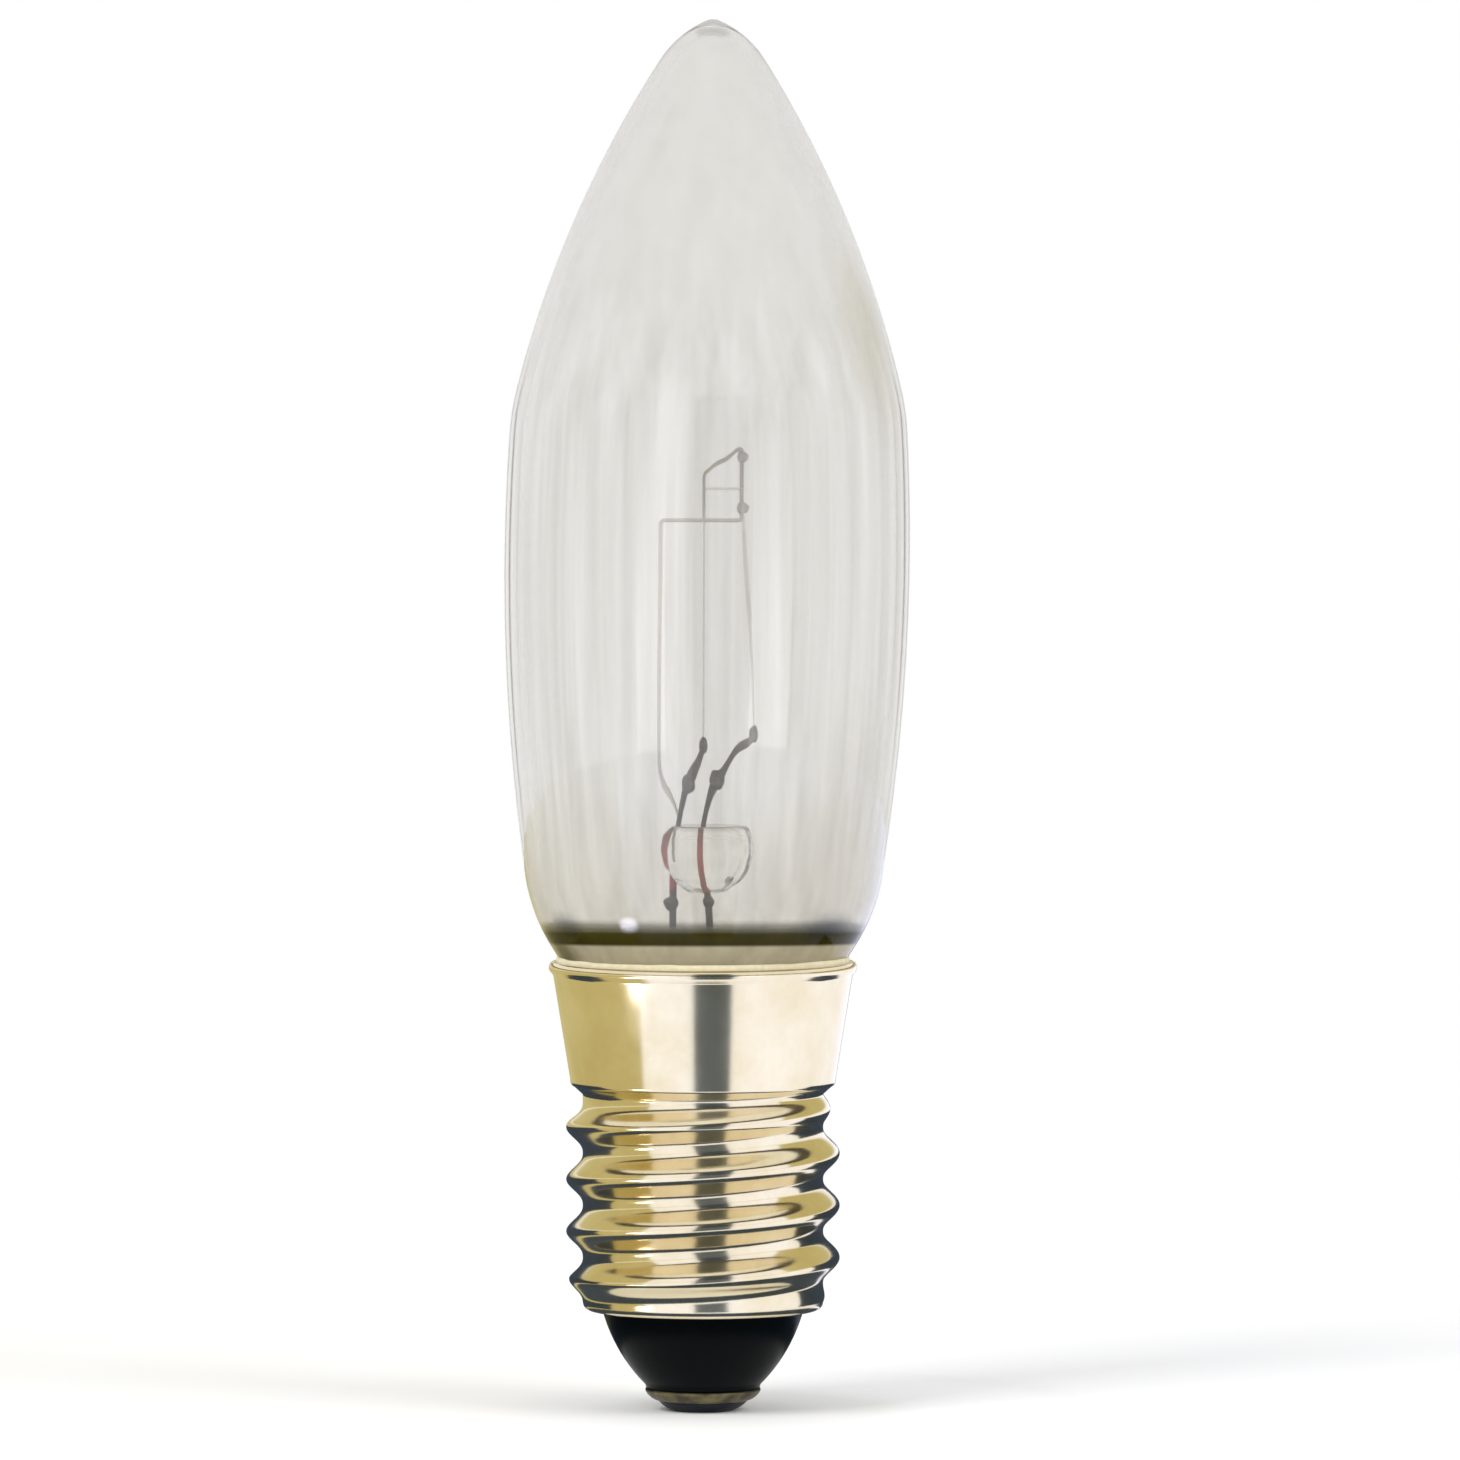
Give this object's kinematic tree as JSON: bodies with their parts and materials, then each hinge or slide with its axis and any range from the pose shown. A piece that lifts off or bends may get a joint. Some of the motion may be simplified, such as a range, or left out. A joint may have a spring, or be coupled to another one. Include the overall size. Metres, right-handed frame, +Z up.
{
  "type": "candle bulb",
  "caption": "Clear candle lamp: ribbed pointed glass envelope with a bead-mounted filament, on a small brass screw cap with a flared skirt, rolled thread and black glass nose.",
  "frame": {"origin": "centre of the flat face of the centre contact, at the foot of the lamp", "axes": "+Z up the lamp's axis, from the contact to the glass tip; +X to the right and -Y towards the viewer in the picture"},
  "size_m": [0.0141, 0.0142, 0.0483],
  "materials": {
    "clear_glass": "clear blown glass with shallow moulded ribs",
    "bead_glass": "clear pressed bead, flame-softened edges",
    "copper_clad_wire": "drawn copper-clad wire, red where glass wets it",
    "nickel_wire": "drawn nickel wire, dulled by welding",
    "support_metal": "drawn bright grey wire",
    "tungsten": "fine coiled wire, dull grey",
    "rolled_brass": "thin rolled and bright-dipped brass sheet",
    "black_glass": "opaque black moulded glass, glossy",
    "eyelet_brass": "stamped brass, dulled",
    "tin_solder": "dull dark solder, hand-dipped",
    "cement": "baked cream capping cement, matt"
  },
  "bodies": {
    "root": {"envelope": "clear_glass", "bead": "bead_glass", "seal_wire_left": "copper_clad_wire", "seal_wire_right": "copper_clad_wire", "inner_lead_left": "nickel_wire", "inner_lead_right": "nickel_wire", "support_wire": "support_metal", "filament": "tungsten", "screw_shell": "rolled_brass", "insulator": "black_glass", "contact_eyelet": "eyelet_brass", "contact_solder": "tin_solder", "capping_cement": "cement", "rim_solder": "tin_solder"}
  },
  "joints": []
}
